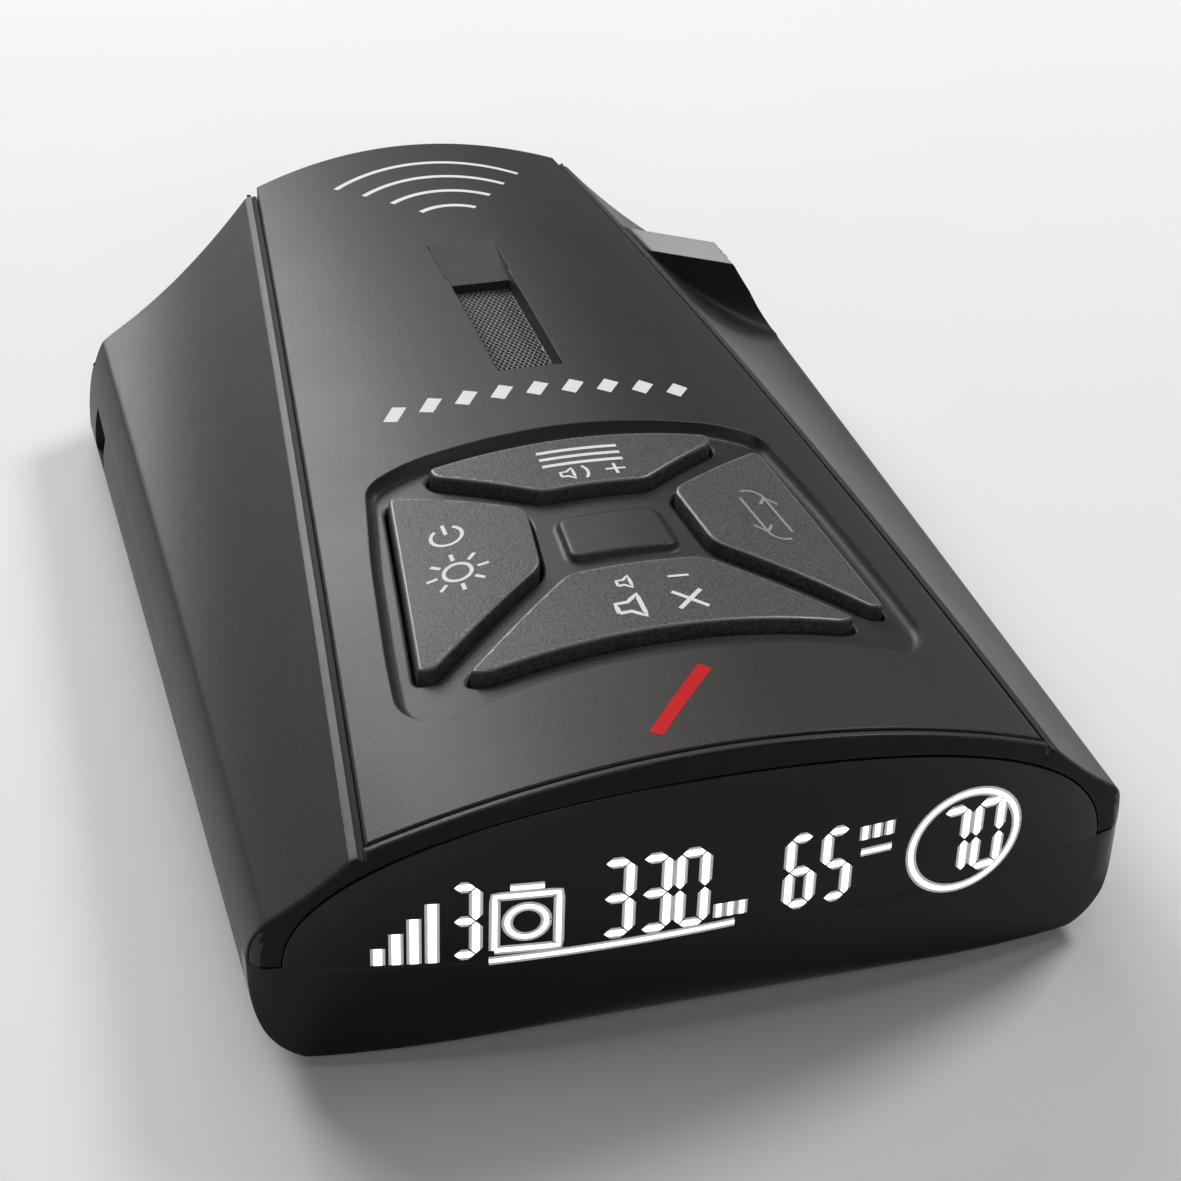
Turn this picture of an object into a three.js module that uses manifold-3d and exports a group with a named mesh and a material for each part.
// In-car radar detector: a low, tapering case with a display across the face
// and a four-key pad on top.  X is across, +Y runs from the display to the
// antenna end, +Z is up, and the rubber feet stand on Z = 0.  Millimetres.
import * as THREE from 'three';
import { mergeVertices } from 'three/addons/utils/BufferGeometryUtils.js';
import Module from 'manifold-3d';

const wasm = await Module();
wasm.setup();

// ---- driving dimensions -------------------------------------------------
const FRONT_Y = -53.65;           // foremost point of the bowed face
const REAR_Y = 53.65;             // rearmost point of the bowed tail
const FRONT_BOW = 0.0037;         // face: y = FRONT_Y + FRONT_BOW x^2
const REAR_BOW = 0.0086;          // tail: y = REAR_Y - REAR_BOW x^2
const FOOT_HEIGHT = 0.8;          // underside of the case above the feet
const WALL = 1.8;
const GAP = 0.15;                 // running gap between case pieces

const RIDGE_TOP = 27.24;          // crown of the case
const RIDGE_PEAK_Y = -34.35;      // where the crown is highest
const RIDGE_FALL = 0.00047;       // crown falls off along Y
const ARCH = 0.00945;             // crown falls off across X
const PANEL_HALF = 20.69;         // half width of the top panel at Y = 0
const PANEL_TAPER = 0.104;        // it narrows to the rear
const PANEL_THICK = 1.4;
const PANEL_SEAT = 1.55;          // depth of the seat the panel lies in
const DECK_BELOW = 3.0;           // underside of the deck below the crown
const STEP_IN = 0.1;              // foot of the step, inside the panel seat
const LEDGE_WIDTH = 0.62;         // groove floor beside the panel
const LAND_WIDTH = 1.27;          // outer edge of the narrow flat land
const LEDGE_DROP = 0.8;
const LAND_IN_DROP = 0.6;
const LAND_OUT_DROP = 0.9;

const SHOULDER_X = 32.88;
const SHOULDER_X_TAPER = 0.0088;
const SHOULDER_Z = 12.11;
const SHOULDER_Z_FALL = 0.0425;
const WING_SAG = 0.0069;          // dish of the wing for each mm of width squared
const BELT_X = 34.6;              // widest line of the side
const BELT_Z = 6.17;
const BELT_Z_FALL = 0.075;
const FLAT_HALF = 28;             // half width of the flat underside
const SIDE_POWER = 2.8;           // squareness of the lower side
const LOFT_END = 57;              // lofts run past both ends, then are trimmed

const SEAM_Z = 9.9;              // top of the full-width lower face
const LENS_HALF = 32.2;           // half width of the arched display window
const LENS_RISE = 14.8;           // its height above the seam
const FACE_END_Y = -46.2;         // the face piece wraps the corners to here
const SPLIT_Z = 8.91;             // case halves part here at Y = 0
const SPLIT_FALL = 0.02;

const PAD_DEPTH = 1.1;
const PAD_FLOOR = 2.3;
const KEY_GAP = 0.25;
const KEY_FLANGE = 0.7;
const KEY_FLANGE_TOP = 2.5;
const KEY_FLANGE_LOW = 3.3;
const STEM_LOW_Z = 21.95;
const PLUNGER_TOP_Z = 21.85;
const SWITCH_LOW_Z = 18.85;
const SWITCH_TOP_Z = 21.0;
const KEY_BOARD = [17.6, 18.8];
const MAIN_BOARD = [3.4, 4.6];

const GRILLE_HALF = 2.9;
const GRILLE_Y = [2.6, 22.0];
const RAMP_END_Y = 28.6;
const RAMP_DEPTH = 1.0;
const MESH_TOP = 1.9;
const MESH_THICK = 0.45;

const POD_Y = [33.1, 35.7];       // flat top of the pod on the right wing
const POD_TOP = 18.4;             // height of its rear edge
const POD_FORE_DROP = 0.94;       // its front edge lies lower
const POD_MID_X = 28.2;            // its heights are given here and fall outward
const POD_LEAN = 0.29;
const POD_END = [[31.2, 9], [31.2, 11.5], [30.4, 14.4], [29, 17.3], [28.9, 18.6]]; // outer end, [x, z]
const POD_TAPER = 0.4;            // the outer end runs inward towards the tail
const WINDOW_HALF = 14;           // rear sensor window
const WINDOW_Z = [8.6, 19.6];
const JACK_Y = [30.6, 36.6];      // opening for the power socket, left side
const JACK_Z = [2.9, 7.2];
const JACK_FACE_X = -30.3;        // the socket sits this far in, behind the wall
const JACK_BACK_X = -24.0;
const PLUG_RADIUS = 1.8;          // hole for a 3.5 mm plug
const POST_X = 28;                // case screws
const POST_Y = [-38, 24];
const POST_SPLIT_Z = 4.85;

// ---- shape of the case --------------------------------------------------
const ridgeZ = (y) => RIDGE_TOP - RIDGE_FALL * (y - RIDGE_PEAK_Y) ** 2;
const archZ = (x, y) => ridgeZ(y) - ARCH * x * x;
const panelHalf = (y) => PANEL_HALF - PANEL_TAPER * y;
const splitZ = (y) => SPLIT_Z - SPLIT_FALL * y;

// The dished wing from the land out to the shoulder, as points [x, z].
function wingPoints(y, count) {
  const edge = panelHalf(y);
  const edgeZ = archZ(edge, y);
  const start = [edge + LAND_WIDTH, edgeZ - LAND_OUT_DROP];
  const end = [SHOULDER_X - SHOULDER_X_TAPER * y, SHOULDER_Z - SHOULDER_Z_FALL * y];
  const sag = WING_SAG * (end[0] - start[0]) ** 2;
  const middle = [(start[0] + end[0]) / 2, (start[1] + end[1]) / 2 - 2 * sag];
  return bend(start, middle, end, count);
}

// Quadratic curve through start and end, pulled towards middle.
function bend(start, middle, end, count) {
  const points = [];
  for (let i = 0; i <= count; i += 1) {
    const t = i / count;
    const a = (1 - t) ** 2;
    const b = 2 * t * (1 - t);
    const c = t * t;
    points.push([
      a * start[0] + b * middle[0] + c * end[0],
      a * start[1] + b * middle[1] + c * end[1],
    ]);
  }
  return points;
}

// Lower side from the belt round to the flat underside.
function lowerSide(beltX, beltZ, flatX, flatZ, count) {
  const points = [];
  for (let i = 1; i <= count; i += 1) {
    const turn = (Math.PI / 2) * (i / count);
    const across = Math.cos(turn) ** (2 / SIDE_POWER);
    const down = Math.sin(turn) ** (2 / SIDE_POWER);
    points.push([flatX + (beltX - flatX) * across, beltZ - (beltZ - flatZ) * down]);
  }
  return points;
}

function closeRing(half, y) {
  const left = half.slice(1, -1).reverse().map(([x, z]) => [-x, z]);
  return [...half, ...left].map(([x, z]) => [x, y, z]);
}

function outerSection(y) {
  const edge = panelHalf(y);
  const edgeZ = archZ(edge, y);
  const beltZ = BELT_Z - BELT_Z_FALL * y;
  const half = [];
  for (let i = 0; i <= 6; i += 1) {
    const x = ((edge + STEP_IN) * i) / 6;
    half.push([x, archZ(x, y) - 0.12]);
  }
  half.push([edge + STEP_IN, edgeZ - LEDGE_DROP]);
  half.push([edge + LEDGE_WIDTH, edgeZ - LEDGE_DROP]);
  half.push([edge + LEDGE_WIDTH, edgeZ - LAND_IN_DROP]);
  const wing = wingPoints(y, 7);
  const shoulder = wing[wing.length - 1];
  half.push(...wing);
  const swell = [BELT_X, (shoulder[1] + beltZ) / 2 + 0.8];
  half.push(...bend(shoulder, swell, [BELT_X, beltZ], 4).slice(1));
  half.push(...lowerSide(BELT_X, beltZ, FLAT_HALF, FOOT_HEIGHT, 7));
  half.push([0, FOOT_HEIGHT]);
  return closeRing(half, y);
}

function innerSection(y) {
  const edge = panelHalf(y) - 1;
  const beltZ = BELT_Z - BELT_Z_FALL * y;
  const half = [];
  for (let i = 0; i <= 5; i += 1) {
    const x = (edge * i) / 5;
    half.push([x, archZ(x, y) - DECK_BELOW]);
  }
  half.push(...wingPoints(y, 5).map(([x, z]) => [x - 1.2, z - 1.5]));
  half.push([BELT_X - WALL, beltZ]);
  half.push(...lowerSide(BELT_X - WALL, beltZ, FLAT_HALF - 0.5, FOOT_HEIGHT + WALL, 4));
  half.push([0, FOOT_HEIGHT + WALL]);
  return closeRing(half, y);
}

// ---- solids -------------------------------------------------------------
function solidFrom(positions, triangles) {
  const geometry = new THREE.BufferGeometry();
  geometry.setAttribute('position', new THREE.Float32BufferAttribute(positions, 3));
  geometry.setIndex(triangles);
  const merged = mergeVertices(geometry, 1e-4);
  const place = merged.getAttribute('position').array;
  const index = Array.from(merged.index.array);
  let volume = 0;
  for (let i = 0; i < index.length; i += 3) {
    const [a, b, c] = [0, 1, 2].map((k) => new THREE.Vector3().fromArray(place, 3 * index[i + k]));
    volume += a.dot(b.cross(c));
  }
  if (volume < 0) index.reverse();
  const mesh = new wasm.Mesh({
    numProp: 3,
    vertProperties: Float32Array.from(place),
    triVerts: Uint32Array.from(index),
  });
  return new wasm.Manifold(mesh);
}

// Triangles closing a ring, wound the way the ring runs.
function ringCap(ring, axis) {
  const [u, v] = [0, 1, 2].filter((k) => k !== axis);
  const flat = ring.map((p) => new THREE.Vector2(p[u], p[v]));
  const area = THREE.ShapeUtils.area(flat);
  return THREE.ShapeUtils.triangulateShape(flat, []).map(([a, b, c]) => {
    const along = THREE.ShapeUtils.area([flat[a], flat[b], flat[c]]) * area > 0;
    return along ? [a, b, c] : [a, c, b];
  });
}

// A solid skinned over rings of equal point count, stacked along an axis.
function loft(rings, axis) {
  const count = rings[0].length;
  const triangles = [];
  for (let r = 0; r + 1 < rings.length; r += 1) {
    for (let i = 0; i < count; i += 1) {
      const a = r * count + i;
      const b = r * count + ((i + 1) % count);
      triangles.push(a, b, a + count, b, b + count, a + count);
    }
  }
  const last = (rings.length - 1) * count;
  for (const [a, b, c] of ringCap(rings[0], axis)) triangles.push(a, c, b);
  for (const face of ringCap(rings[rings.length - 1], axis)) {
    triangles.push(...face.map((i) => i + last));
  }
  return solidFrom(rings.flat(2), triangles);
}

const AXIS = { x: 0, y: 1, z: 2 };

// Straight prism: outline in the two other axes, in x, y, z order.
function prism(direction, outline, low, high) {
  const axis = AXIS[direction];
  const ring = (level) => outline.map((p) => {
    const point = [...p];
    point.splice(axis, 0, level);
    return point;
  });
  return loft([ring(low), ring(high)], axis);
}

function block(x, y, z) {
  return prism('z', [[x[0], y[0]], [x[1], y[0]], [x[1], y[1]], [x[0], y[1]]], z[0], z[1]);
}

function circle(centre, radius, sides) {
  const points = [];
  for (let i = 0; i < sides; i += 1) {
    const turn = (2 * Math.PI * (i + 0.5)) / sides;
    points.push([centre[0] + radius * Math.cos(turn), centre[1] + radius * Math.sin(turn)]);
  }
  return points;
}

// Rounds every corner of a closed outline.
function rounded(corners, radius, steps = 3) {
  const points = [];
  const total = corners.length;
  for (let i = 0; i < total; i += 1) {
    const here = new THREE.Vector2(...corners[i]);
    const back = new THREE.Vector2(...corners[(i + total - 1) % total]).sub(here);
    const on = new THREE.Vector2(...corners[(i + 1) % total]).sub(here);
    const reach = Math.min(radius, back.length() * 0.45, on.length() * 0.45);
    const start = back.setLength(reach).add(here);
    const end = on.setLength(reach).add(here);
    points.push(...bend(start.toArray(), here.toArray(), end.toArray(), steps));
  }
  return points;
}

// Moves every side of a convex or gently bent outline outward.
function grown(outline, amount) {
  const total = outline.length;
  const area = THREE.ShapeUtils.area(outline.map((p) => new THREE.Vector2(...p)));
  const side = Math.sign(area) * amount;
  return outline.map((point, i) => {
    const before = outline[(i + total - 1) % total];
    const after = outline[(i + 1) % total];
    const run = new THREE.Vector2(after[0] - before[0], after[1] - before[1]).normalize();
    return [point[0] + run.y * side, point[1] - run.x * side];
  });
}

const both = (points) => [...points, ...points.slice().reverse().map(([x, y]) => [-x, y])];

// A slab that follows the crown, between two depths below it.
function archSlab(low, high, halfWidth, from, to, steps, columns = 12) {
  const rings = [];
  for (let s = 0; s <= steps; s += 1) {
    const y = from + ((to - from) * s) / steps;
    const half = halfWidth(y);
    const xs = Array.from({ length: columns + 1 }, (_, i) => half * ((2 * i) / columns - 1));
    const top = xs.map((x) => [x, y, archZ(x, y) - high]);
    const bottom = xs.map((x) => [x, y, archZ(x, y) - low]).reverse();
    rings.push([...top, ...bottom]);
  }
  return loft(rings, 1);
}

function caseLoft(section, steps) {
  const rings = [];
  for (let s = 0; s <= steps; s += 1) {
    rings.push(section(-LOFT_END + (2 * LOFT_END * s) / steps));
  }
  return loft(rings, 1);
}

// Plan outline of the case, drawn in by an inset.
function planOutline(frontInset, rearInset) {
  const side = 36 - Math.max(frontInset, rearInset);
  const corner = 34.75 - Math.max(frontInset, rearInset);
  const frontAt = (x) => FRONT_Y + frontInset + FRONT_BOW * x * x;
  const rearAt = (x) => REAR_Y - rearInset - REAR_BOW * x * x;
  const half = [];
  for (let i = 0; i <= 8; i += 1) {
    const x = ((corner - 0.9) * i) / 8;
    half.push([x, frontAt(x)]);
  }
  half.push([corner, frontAt(corner) + 1.1]);
  half.push([side, frontAt(corner) + 6]);
  half.push([side, rearAt(corner) - 6]);
  const turnIn = bend([corner, rearAt(corner) - 4], [corner, rearAt(corner)], [31, rearAt(31)], 4);
  half.push(...turnIn);
  for (let i = 7; i >= 0; i -= 1) {
    const x = (31 * i) / 8;
    half.push([x, rearAt(x)]);
  }
  const left = half.slice(1, -1).reverse().map(([x, y]) => [-x, y]);
  return [...half, ...left];
}

// Side profile: rounds the underside up into the face and the tail.
function sideProfile(inset) {
  const low = FOOT_HEIGHT + inset;
  const front = FRONT_Y + inset;
  const rear = REAR_Y - inset;
  const frontTurn = bend([front, low + 5.6], [front, low], [front + 5.4, low], 6);
  const rearTurn = bend([rear - 4, low], [rear, low], [rear, low + 3.6], 4);
  return [...frontTurn, ...rearTurn, [rear, 40], [front, 40]];
}

function trimmed(solid, inset) {
  return solid
    .intersect(prism('z', planOutline(inset, inset), -5, 45))
    .intersect(prism('x', sideProfile(inset), -40, 40));
}

// Face outline in X and Z: full width below the seam, arched above it.
function faceOutline(grow) {
  const points = [[-40, -5], [40, -5], [40, SEAM_Z + grow]];
  for (let i = 0; i <= 24; i += 1) {
    const turn = (Math.PI * i) / 24;
    const x = (LENS_HALF + grow) * Math.cos(turn);
    points.push([x, SEAM_Z + grow + LENS_RISE * Math.sin(turn)]);
  }
  points.push([-40, SEAM_Z + grow]);
  return points;
}

const faceCutter = (grow) => prism('y', faceOutline(grow), -60, FACE_END_Y + grow);
const aboveSplit = () => prism('x', [[-60, splitZ(-60) + 0.05], [60, splitZ(60) + 0.05], [60, 60], [-60, 60]], -40, 40);
const belowSplit = () => prism('x', [[-60, -5], [60, -5], [60, splitZ(60) - 0.05], [-60, splitZ(-60) - 0.05]], -40, 40);
const rod = (x, y, radius, low, high, sides = 14) => prism('z', circle([x, y], radius, sides), low, high);

// ---- key pad outlines in plan --------------------------------------------
const padOutline = rounded(both([
  [0, -7.85], [13.6, -8.1], [17.2, -9.2], [19.0, -20.0], [20.5, -32.0], [21.1, -38.6],
  [18.8, -41.9], [9.0, -41.4], [0, -41.6],
]).filter(([x], i, all) => x !== 0 || i < all.length / 2), 2.2);

const menuKey = rounded(both([[12.1, -10.05], [11.9, -11.6], [4.4, -17.6]]), 0.9);
const muteKey = rounded(both([[5.5, -29.3], [15.4, -37.6], [14.1, -38.4]]), 0.9);
const modeKey = rounded([[15.9, -11.9], [6.1, -19.2], [7.0, -27.5], [17.4, -35.7], [18.7, -35.3]], 1.2);
const powerKey = modeKey.map(([x, y]) => [-x, y]).reverse();
const dishOutline = rounded([[-4.0, -21.1], [4.0, -21.1], [4.3, -26.8], [-4.3, -26.8]], 1.0);

const keys = [
  { name: 'menu', outline: menuKey, stem: [0, -13.6] },
  { name: 'power', outline: powerKey, stem: [-11.4, -23.6] },
  { name: 'mode', outline: modeKey, stem: [11.4, -23.6] },
  { name: 'mute', outline: muteKey, stem: [0, -34.2] },
];

// ---- materials -----------------------------------------------------------
const FINISH = {
  case: [0x45413f, 0.55, 0.0],
  face: [0x1b1a18, 0.18, 0.0],
  key: [0x55514e, 0.8, 0.0],
  mesh: [0x8c8a88, 0.4, 0.9],
  board: [0x1f5a34, 0.6, 0.0],
  chip: [0x1a1a1c, 0.5, 0.0],
  metal: [0xb9bbbd, 0.35, 1.0],
  brass: [0xc2a35a, 0.35, 1.0],
  ceramic: [0xd8cfbd, 0.7, 0.0],
  glass: [0x1d2a2c, 0.1, 0.0],
  rubber: [0x171717, 0.9, 0.0],
  amber: [0xb9803a, 0.5, 0.0],
  label: [0xc9c9c4, 0.6, 0.0],
};

const group = new THREE.Group();
group.name = 'radar_detector';

function addPiece(name, solid, finish) {
  const shape = solid.getMesh();
  const geometry = new THREE.BufferGeometry();
  geometry.setAttribute('position', new THREE.Float32BufferAttribute(shape.vertProperties, 3));
  geometry.setIndex(Array.from(shape.triVerts));
  geometry.computeVertexNormals();
  const [color, roughness, metalness] = FINISH[finish];
  const material = new THREE.MeshStandardMaterial({ color, roughness, metalness });
  material.name = finish;
  const piece = new THREE.Mesh(geometry, material);
  piece.name = name;
  group.add(piece);
}

// ---- case ----------------------------------------------------------------
const body = trimmed(caseLoft(outerSection, 12), 0);
const cavity = trimmed(caseLoft(innerSection, 8), WALL);
const hollow = body.subtract(cavity);

function panelSeat() {
  const seat = archSlab(PANEL_SEAT, -9, (y) => panelHalf(y) + GAP, -LOFT_END, LOFT_END, 12);
  return seat.intersect(prism('z', planOutline(0.6, -4), 5, 45));
}

// Raised pod on the right wing with a scooped front.
function wingPod() {
  const foot = 9;
  const fore = [POD_Y[0], POD_TOP - POD_FORE_DROP];
  const scoop = bend([27.4, 11.6], [32.2, 12.2], fore, 5);
  const back = [[POD_Y[1], POD_TOP], [43, 12.4], [43, foot]];
  const profile = [[27.4, foot], ...scoop, ...back];
  const slice = (x) => profile.map(([y, z]) => (
    [x, y, z > foot ? z - POD_LEAN * (x - POD_MID_X) : z]
  ));
  const end = (y) => {
    const outer = POD_END.map(([x, z]) => [x - POD_TAPER * (y - POD_Y[0]), z]);
    return [[17, foot], ...outer, [17, 30]].map(([x, z]) => [x, y, z]);
  };
  return loft([slice(18.3), slice(33)], 0).intersect(loft([end(20), end(50)], 1));
}

function upperPosts() {
  let posts = null;
  for (const x of [-POST_X, POST_X]) {
    for (const y of POST_Y) {
      const top = wingPoints(y, 12).find(([px]) => px > POST_X + 2.2)[1] - 1.1;
      const post = rod(x, y, 2.5, POST_SPLIT_Z + 0.05, top);
      posts = posts ? posts.add(post) : post;
    }
  }
  for (const [x, y] of [[-12, -4.9], [12, -4.9], [-10, -44.5], [10, -44.5]]) {
    posts = posts.add(rod(x, y, 1.2, KEY_BOARD[1] + 0.05, archZ(x, y) - DECK_BELOW + 0.6, 12));
  }
  return posts;
}

function upperShell() {
  let shell = hollow.subtract(faceCutter(GAP)).intersect(aboveSplit());
  shell = shell.add(upperPosts());
  shell = shell.add(wingPod().subtract(cavity));
  shell = shell.subtract(panelSeat());
  shell = shell.subtract(prism('z', grown(padOutline, 1.7), 15, 45));
  shell = shell.subtract(block([-4.4, 4.4], [1.0, 23.6], [18, 45]));
  const rearOpening = prism('y', rounded([
    [-WINDOW_HALF, WINDOW_Z[0]], [WINDOW_HALF, WINDOW_Z[0]],
    [WINDOW_HALF, WINDOW_Z[1]], [-WINDOW_HALF, WINDOW_Z[1]],
  ], 2), 44, 60);
  shell = shell.subtract(rearOpening);
  for (const x of [-POST_X, POST_X]) {
    for (const y of POST_Y) shell = shell.subtract(rod(x, y, 1.15, 3, 9.4, 10));
  }
  return shell;
}

function lowerShell() {
  let shell = hollow.subtract(faceCutter(GAP)).intersect(belowSplit());
  for (const x of [-POST_X, POST_X]) {
    for (const y of POST_Y) {
      shell = shell.add(rod(x, y, 3.1, FOOT_HEIGHT + 0.6, POST_SPLIT_Z - 0.05));
      shell = shell.subtract(rod(x, y, 2.3, 0, 2.9));
      shell = shell.subtract(rod(x, y, 1.2, 0, 9, 12));
    }
  }
  for (const x of [-18, 18]) {
    for (const y of [-36, 0, 28]) {
      shell = shell.add(rod(x, y, 2, FOOT_HEIGHT + WALL - 0.3, MAIN_BOARD[0] - 0.05, 12));
    }
  }
  shell = shell.subtract(block([-40, -30.5], JACK_Y, JACK_Z));
  for (const [x, y] of footPlaces) {
    shell = shell.subtract(rod(x, y, 4.2, 0, FOOT_HEIGHT + 0.35));
  }
  return shell;
}

const footPlaces = [[-20, -38], [20, -38], [-20, 34], [20, 34]];

function facePiece() {
  const core = prism('z', planOutline(WALL, WALL), -5, 45)
    .intersect(prism('x', sideProfile(WALL), -40, 40))
    .intersect(block([-BELT_X + WALL, BELT_X - WALL], [-60, 60], [0, 45]));
  return body.intersect(faceCutter(0)).subtract(core);
}

function topPanel() {
  const plan = prism('z', planOutline(0.85, 0), 5, 45);
  const wide = (y) => panelHalf(y);
  let panel = archSlab(PANEL_THICK, 0, wide, -LOFT_END, LOFT_END, 12).intersect(plan);
  const boss = archSlab(PAD_FLOOR, 0.9, wide, -50, 0, 5);
  panel = panel.add(boss.intersect(prism('z', grown(padOutline, 1.2), 5, 45)));
  const recess = archSlab(PAD_DEPTH, -4, wide, -50, 0, 5);
  panel = panel.subtract(recess.intersect(prism('z', padOutline, 5, 45)));
  const dish = archSlab(PAD_FLOOR - 0.2, 0.5, wide, -40, -10, 2);
  panel = panel.add(dish.intersect(prism('z', dishOutline, 5, 45)));
  for (const key of keys) {
    panel = panel.subtract(prism('z', grown(key.outline, KEY_GAP), 5, 45));
  }
  const opening = [[-GRILLE_HALF, GRILLE_Y[0]], [GRILLE_HALF, GRILLE_Y[0]],
    [GRILLE_HALF, GRILLE_Y[1]], [-GRILLE_HALF, GRILLE_Y[1]]];
  panel = panel.subtract(prism('z', opening, 5, 45));
  const lip = ridgeZ(GRILLE_Y[1]) - RAMP_DEPTH;
  const ramp = [[GRILLE_Y[1] - 0.5, lip], [RAMP_END_Y, ridgeZ(RAMP_END_Y) + 0.02],
    [RAMP_END_Y, 40], [GRILLE_Y[1] - 0.5, 40]];
  return panel.subtract(prism('x', ramp, -3.1, 3.1));
}

function speakerMesh() {
  const narrow = () => 3.9;
  let mesh = archSlab(MESH_TOP + MESH_THICK, PANEL_THICK + 0.05, narrow, 1.4, 23.2, 2, 2);
  const well = archSlab(MESH_TOP, -2, narrow, 1, 23.6, 2, 2);
  const inside = block([-GRILLE_HALF, GRILLE_HALF], GRILLE_Y, [5, 45]);
  mesh = mesh.subtract(well.intersect(inside));
  const rows = 13;
  for (let row = 0; row < rows; row += 1) {
    const y = GRILLE_Y[0] + ((GRILLE_Y[1] - GRILLE_Y[0]) * (row + 0.5)) / rows;
    for (let column = 0; column < 4; column += 1) {
      const x = (column - 1.5) * 1.4 + (row % 2 ? 0.28 : -0.28);
      mesh = mesh.subtract(prism('z', circle([x, y], 0.56, 4), 5, 45));
    }
  }
  return mesh;
}

function keyCap(key) {
  const half = () => 22;
  const cap = archSlab(KEY_FLANGE_LOW - 0.1, 0, half, -50, 0, 5)
    .intersect(prism('z', key.outline, 5, 45));
  const flange = archSlab(KEY_FLANGE_LOW, KEY_FLANGE_TOP, half, -50, 0, 2, 8)
    .intersect(prism('z', grown(key.outline, KEY_FLANGE), 5, 45));
  const [x, y] = key.stem;
  return cap.add(flange).add(rod(x, y, 1.5, STEM_LOW_Z, archZ(x, y) - 3));
}

addPiece('upper_shell', upperShell(), 'case');
addPiece('lower_shell', lowerShell(), 'case');
addPiece('top_panel', topPanel(), 'case');
addPiece('face_lens', facePiece(), 'face');
addPiece('speaker_grille', speakerMesh(), 'mesh');

for (const key of keys) {
  const [x, y] = key.stem;
  addPiece(`key_${key.name}`, keyCap(key), 'key');
  const housing = block([x - 3, x + 3], [y - 3, y + 3], [SWITCH_LOW_Z, SWITCH_TOP_Z])
    .subtract(rod(x, y, 1.75, SWITCH_LOW_Z + 0.6, SWITCH_TOP_Z + 1));
  addPiece(`switch_${key.name}`, housing, 'chip');
  addPiece(`plunger_${key.name}`, rod(x, y, 1.5, SWITCH_LOW_Z + 1.2, PLUNGER_TOP_Z), 'amber');
}

// ---- boards and parts on them -----------------------------------------------
addPiece('key_board', block([-18, 18], [-45.4, -3.2], KEY_BOARD), 'board');

function mainBoard() {
  const notchX = -23.6;
  const outline = [[-24.6, -44.5], [24.6, -44.5], [24.6, 44], [-24.6, 44],
    [-24.6, JACK_Y[1]], [notchX, JACK_Y[1]], [notchX, JACK_Y[0]], [-24.6, JACK_Y[0]]];
  return prism('z', outline, ...MAIN_BOARD);
}
addPiece('main_board', mainBoard(), 'board');
const ON_BOARD = MAIN_BOARD[1] + 0.05;

addPiece('processor', block([11, 22], [-32, -21], [ON_BOARD, 6.0]), 'chip');
addPiece('satellite_antenna', block([-22, -10], [-10, 2], [ON_BOARD, 8.6]), 'ceramic');
addPiece('board_connector', block([11, 19], [-6.6, -3.2], [ON_BOARD, 6.3]), 'label');

function flexStrip() {
  const under = KEY_BOARD[0] - 0.15;
  const turn = bend([-6.4, under], [-4.6, under], [-4.6, under - 1.8], 5);
  const path = [[-9.6, under], ...turn, [-4.6, 6.4]];
  const back = path.map((point, i) => {
    const before = path[Math.max(i - 1, 0)];
    const after = path[Math.min(i + 1, path.length - 1)];
    const run = new THREE.Vector2(after[0] - before[0], after[1] - before[1]).setLength(0.3);
    return [point[0] + run.y, point[1] - run.x];
  });
  return prism('x', [...path, ...back.reverse()], 12, 18);
}
addPiece('flex_strip', flexStrip(), 'amber');

function shieldCan() {
  const outside = block([-9, 9], [-2, 20.5], [ON_BOARD, 10.6]);
  return outside.subtract(block([-8.6, 8.6], [-1.6, 20.1], [3, 10.2]));
}
addPiece('receiver_shield', shieldCan(), 'metal');

// Flared horn, open to the rear.
function horn() {
  const flare = (inset, from, to) => {
    const ring = (half, y, top) => [
      [-half + inset, y, ON_BOARD + inset], [half - inset, y, ON_BOARD + inset],
      [half - inset, y, top - inset], [-half + inset, y, top - inset],
    ];
    return loft([ring(11, to, 15.0), ring(5.5, from, 10.4)], 1);
  };
  return flare(0, 21, 49.2).subtract(flare(0.9, 22.6, 49.4));
}
addPiece('antenna_horn', horn(), 'metal');

const LASER_Z = 17.6;
function laserHolder() {
  const holder = block([-4, 4], [38.2, 45.6], [15.1, 20.2]);
  return holder.subtract(prism('y', circle([0, LASER_Z], 2.05, 12), 40, 50));
}
addPiece('laser_holder', laserHolder(), 'chip');
addPiece('laser_sensor', prism('y', circle([0, LASER_Z], 1.9, 12), 40.1, 47.2), 'glass');

function rearWindow() {
  const outline = rounded([
    [-WINDOW_HALF + GAP, WINDOW_Z[0] + GAP], [WINDOW_HALF - GAP, WINDOW_Z[0] + GAP],
    [WINDOW_HALF - GAP, WINDOW_Z[1] - GAP], [-WINDOW_HALF + GAP, WINDOW_Z[1] - GAP],
  ], 2);
  return prism('y', outline, 44, 60)
    .intersect(prism('z', planOutline(0.3, 0.3), -5, 45))
    .subtract(prism('z', planOutline(1.7, 1.7), -6, 46));
}
addPiece('rear_window', rearWindow(), 'face');

// ---- display ------------------------------------------------------------------
function displayFrame() {
  const frame = block([-25.2, 25.2], [-49.1, -47.4], [6.6, 17.4]);
  return frame.subtract(block([-24.3, 24.3], [-50, -47], [7.4, 16.7]));
}
addPiece('display_frame', displayFrame(), 'chip');
addPiece('display_glass', block([-24.2, 24.2], [-48.8, -47.4], [7.5, 16.6]), 'glass');
addPiece('display_board', block([-25.2, 25.2], [-47.3, -46.1], [5.2, 17.4]), 'board');

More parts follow.
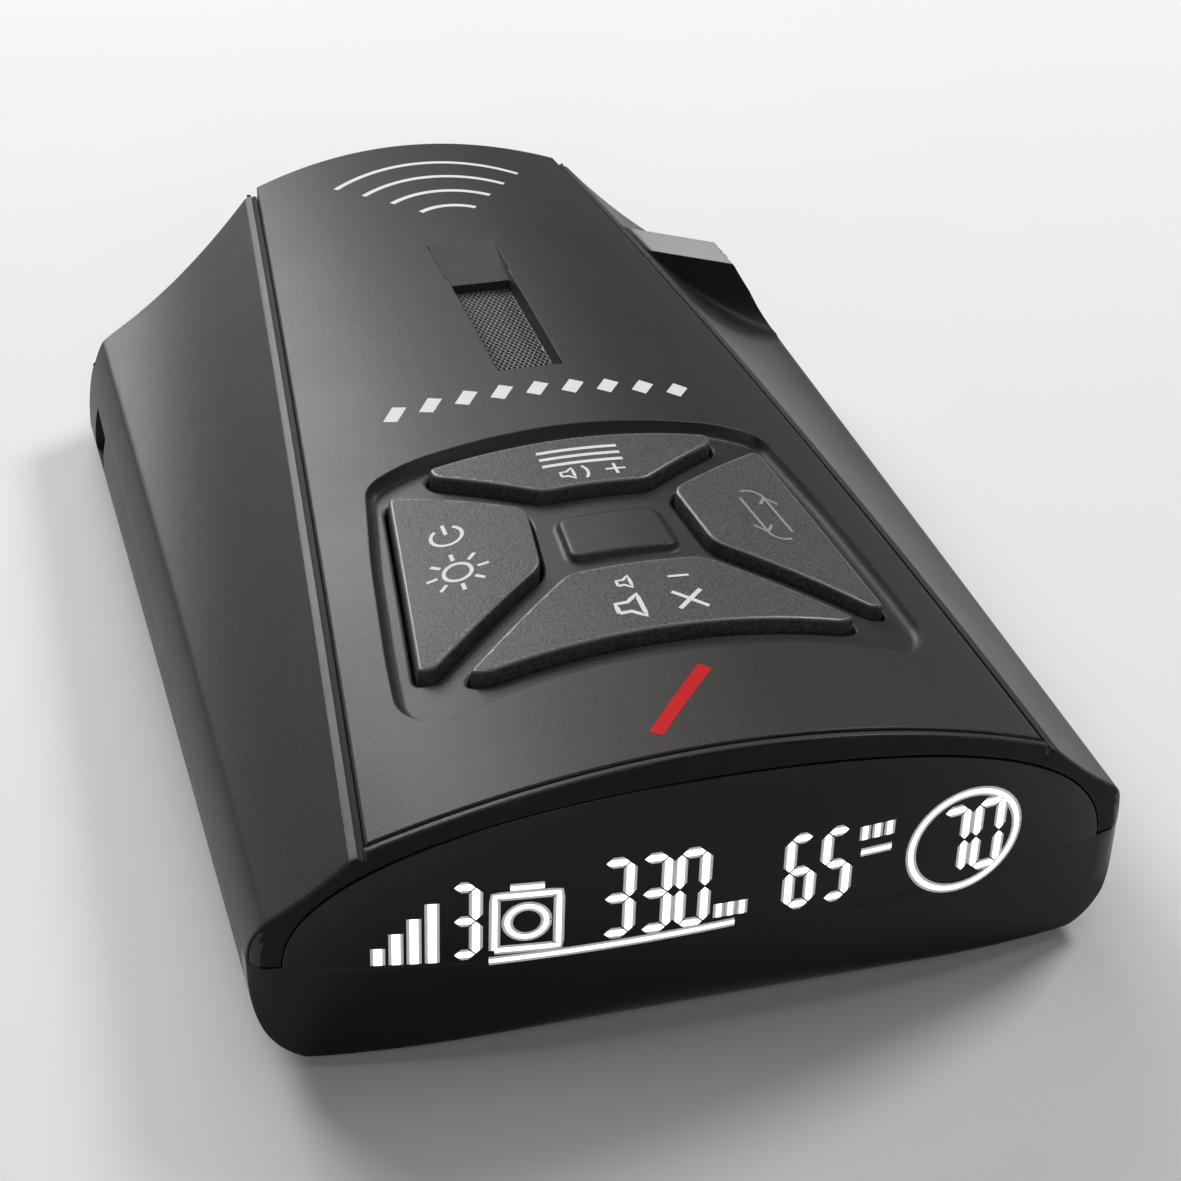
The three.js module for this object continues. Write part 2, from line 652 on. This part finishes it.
// ---- speaker --------------------------------------------------------------------
const SPEAKER = [0, 12.3];
function speakerBasket() {
  const [x, y] = SPEAKER;
  return rod(x, y, 9.4, 18.3, 21.9, 20).subtract(rod(x, y, 8.8, 18.9, 24, 20));
}
function speakerCone() {
  const [x, y] = SPEAKER;
  const ring = (radius, z) => circle([x, y], radius, 20).map(([a, b]) => [a, b, z]);
  const outside = loft([ring(2.4, 19.1), ring(8.5, 21.4), ring(8.5, 21.7)], 2);
  const inside = loft([ring(2.0, 19.5), ring(8.0, 21.8)], 2);
  return outside.subtract(inside);
}
addPiece('speaker_basket', speakerBasket(), 'metal');
addPiece('speaker_cone', speakerCone(), 'rubber');
addPiece('speaker_magnet', rod(...SPEAKER, 6, 14.9, 18.25, 20), 'metal');

// ---- power socket ------------------------------------------------------------------
const plugCentre = [(JACK_Y[0] + JACK_Y[1]) / 2, (JACK_Z[0] + JACK_Z[1]) / 2];

function powerJack() {
  const shell = block(
    [JACK_FACE_X, JACK_BACK_X],
    [JACK_Y[0] + 0.2, JACK_Y[1] - 0.2],
    [JACK_Z[0] + 0.15, JACK_Z[1] - 0.15],
  );
  return shell.subtract(prism('x', circle(plugCentre, PLUG_RADIUS, 12), -40, JACK_BACK_X - 1.4));
}
addPiece('power_jack', powerJack(), 'chip');
const pin = prism('x', circle(plugCentre, 0.6, 8), JACK_FACE_X + 1.7, JACK_BACK_X - 1.45);
addPiece('jack_pin', pin, 'brass');

// ---- underside ------------------------------------------------------------------------
footPlaces.forEach(([x, y], i) => {
  addPiece(`foot_${i + 1}`, rod(x, y, 4, 0, FOOT_HEIGHT + 0.3), 'rubber');
});

let screwNumber = 1;
for (const x of [-POST_X, POST_X]) {
  for (const y of POST_Y) {
    const head = rod(x, y, 2.1, 1.4, 2.8).subtract(block([x - 1.5, x + 1.5], [y - 0.3, y + 0.3], [1, 1.9]));
    addPiece(`screw_${screwNumber}`, head.add(rod(x, y, 0.95, 2.5, 8.9, 10)), 'metal');
    screwNumber += 1;
  }
}

addPiece('rating_plate', block([-15, 15], [-10, 10], [FOOT_HEIGHT - 0.25, FOOT_HEIGHT - 0.01]), 'label');

export default group;
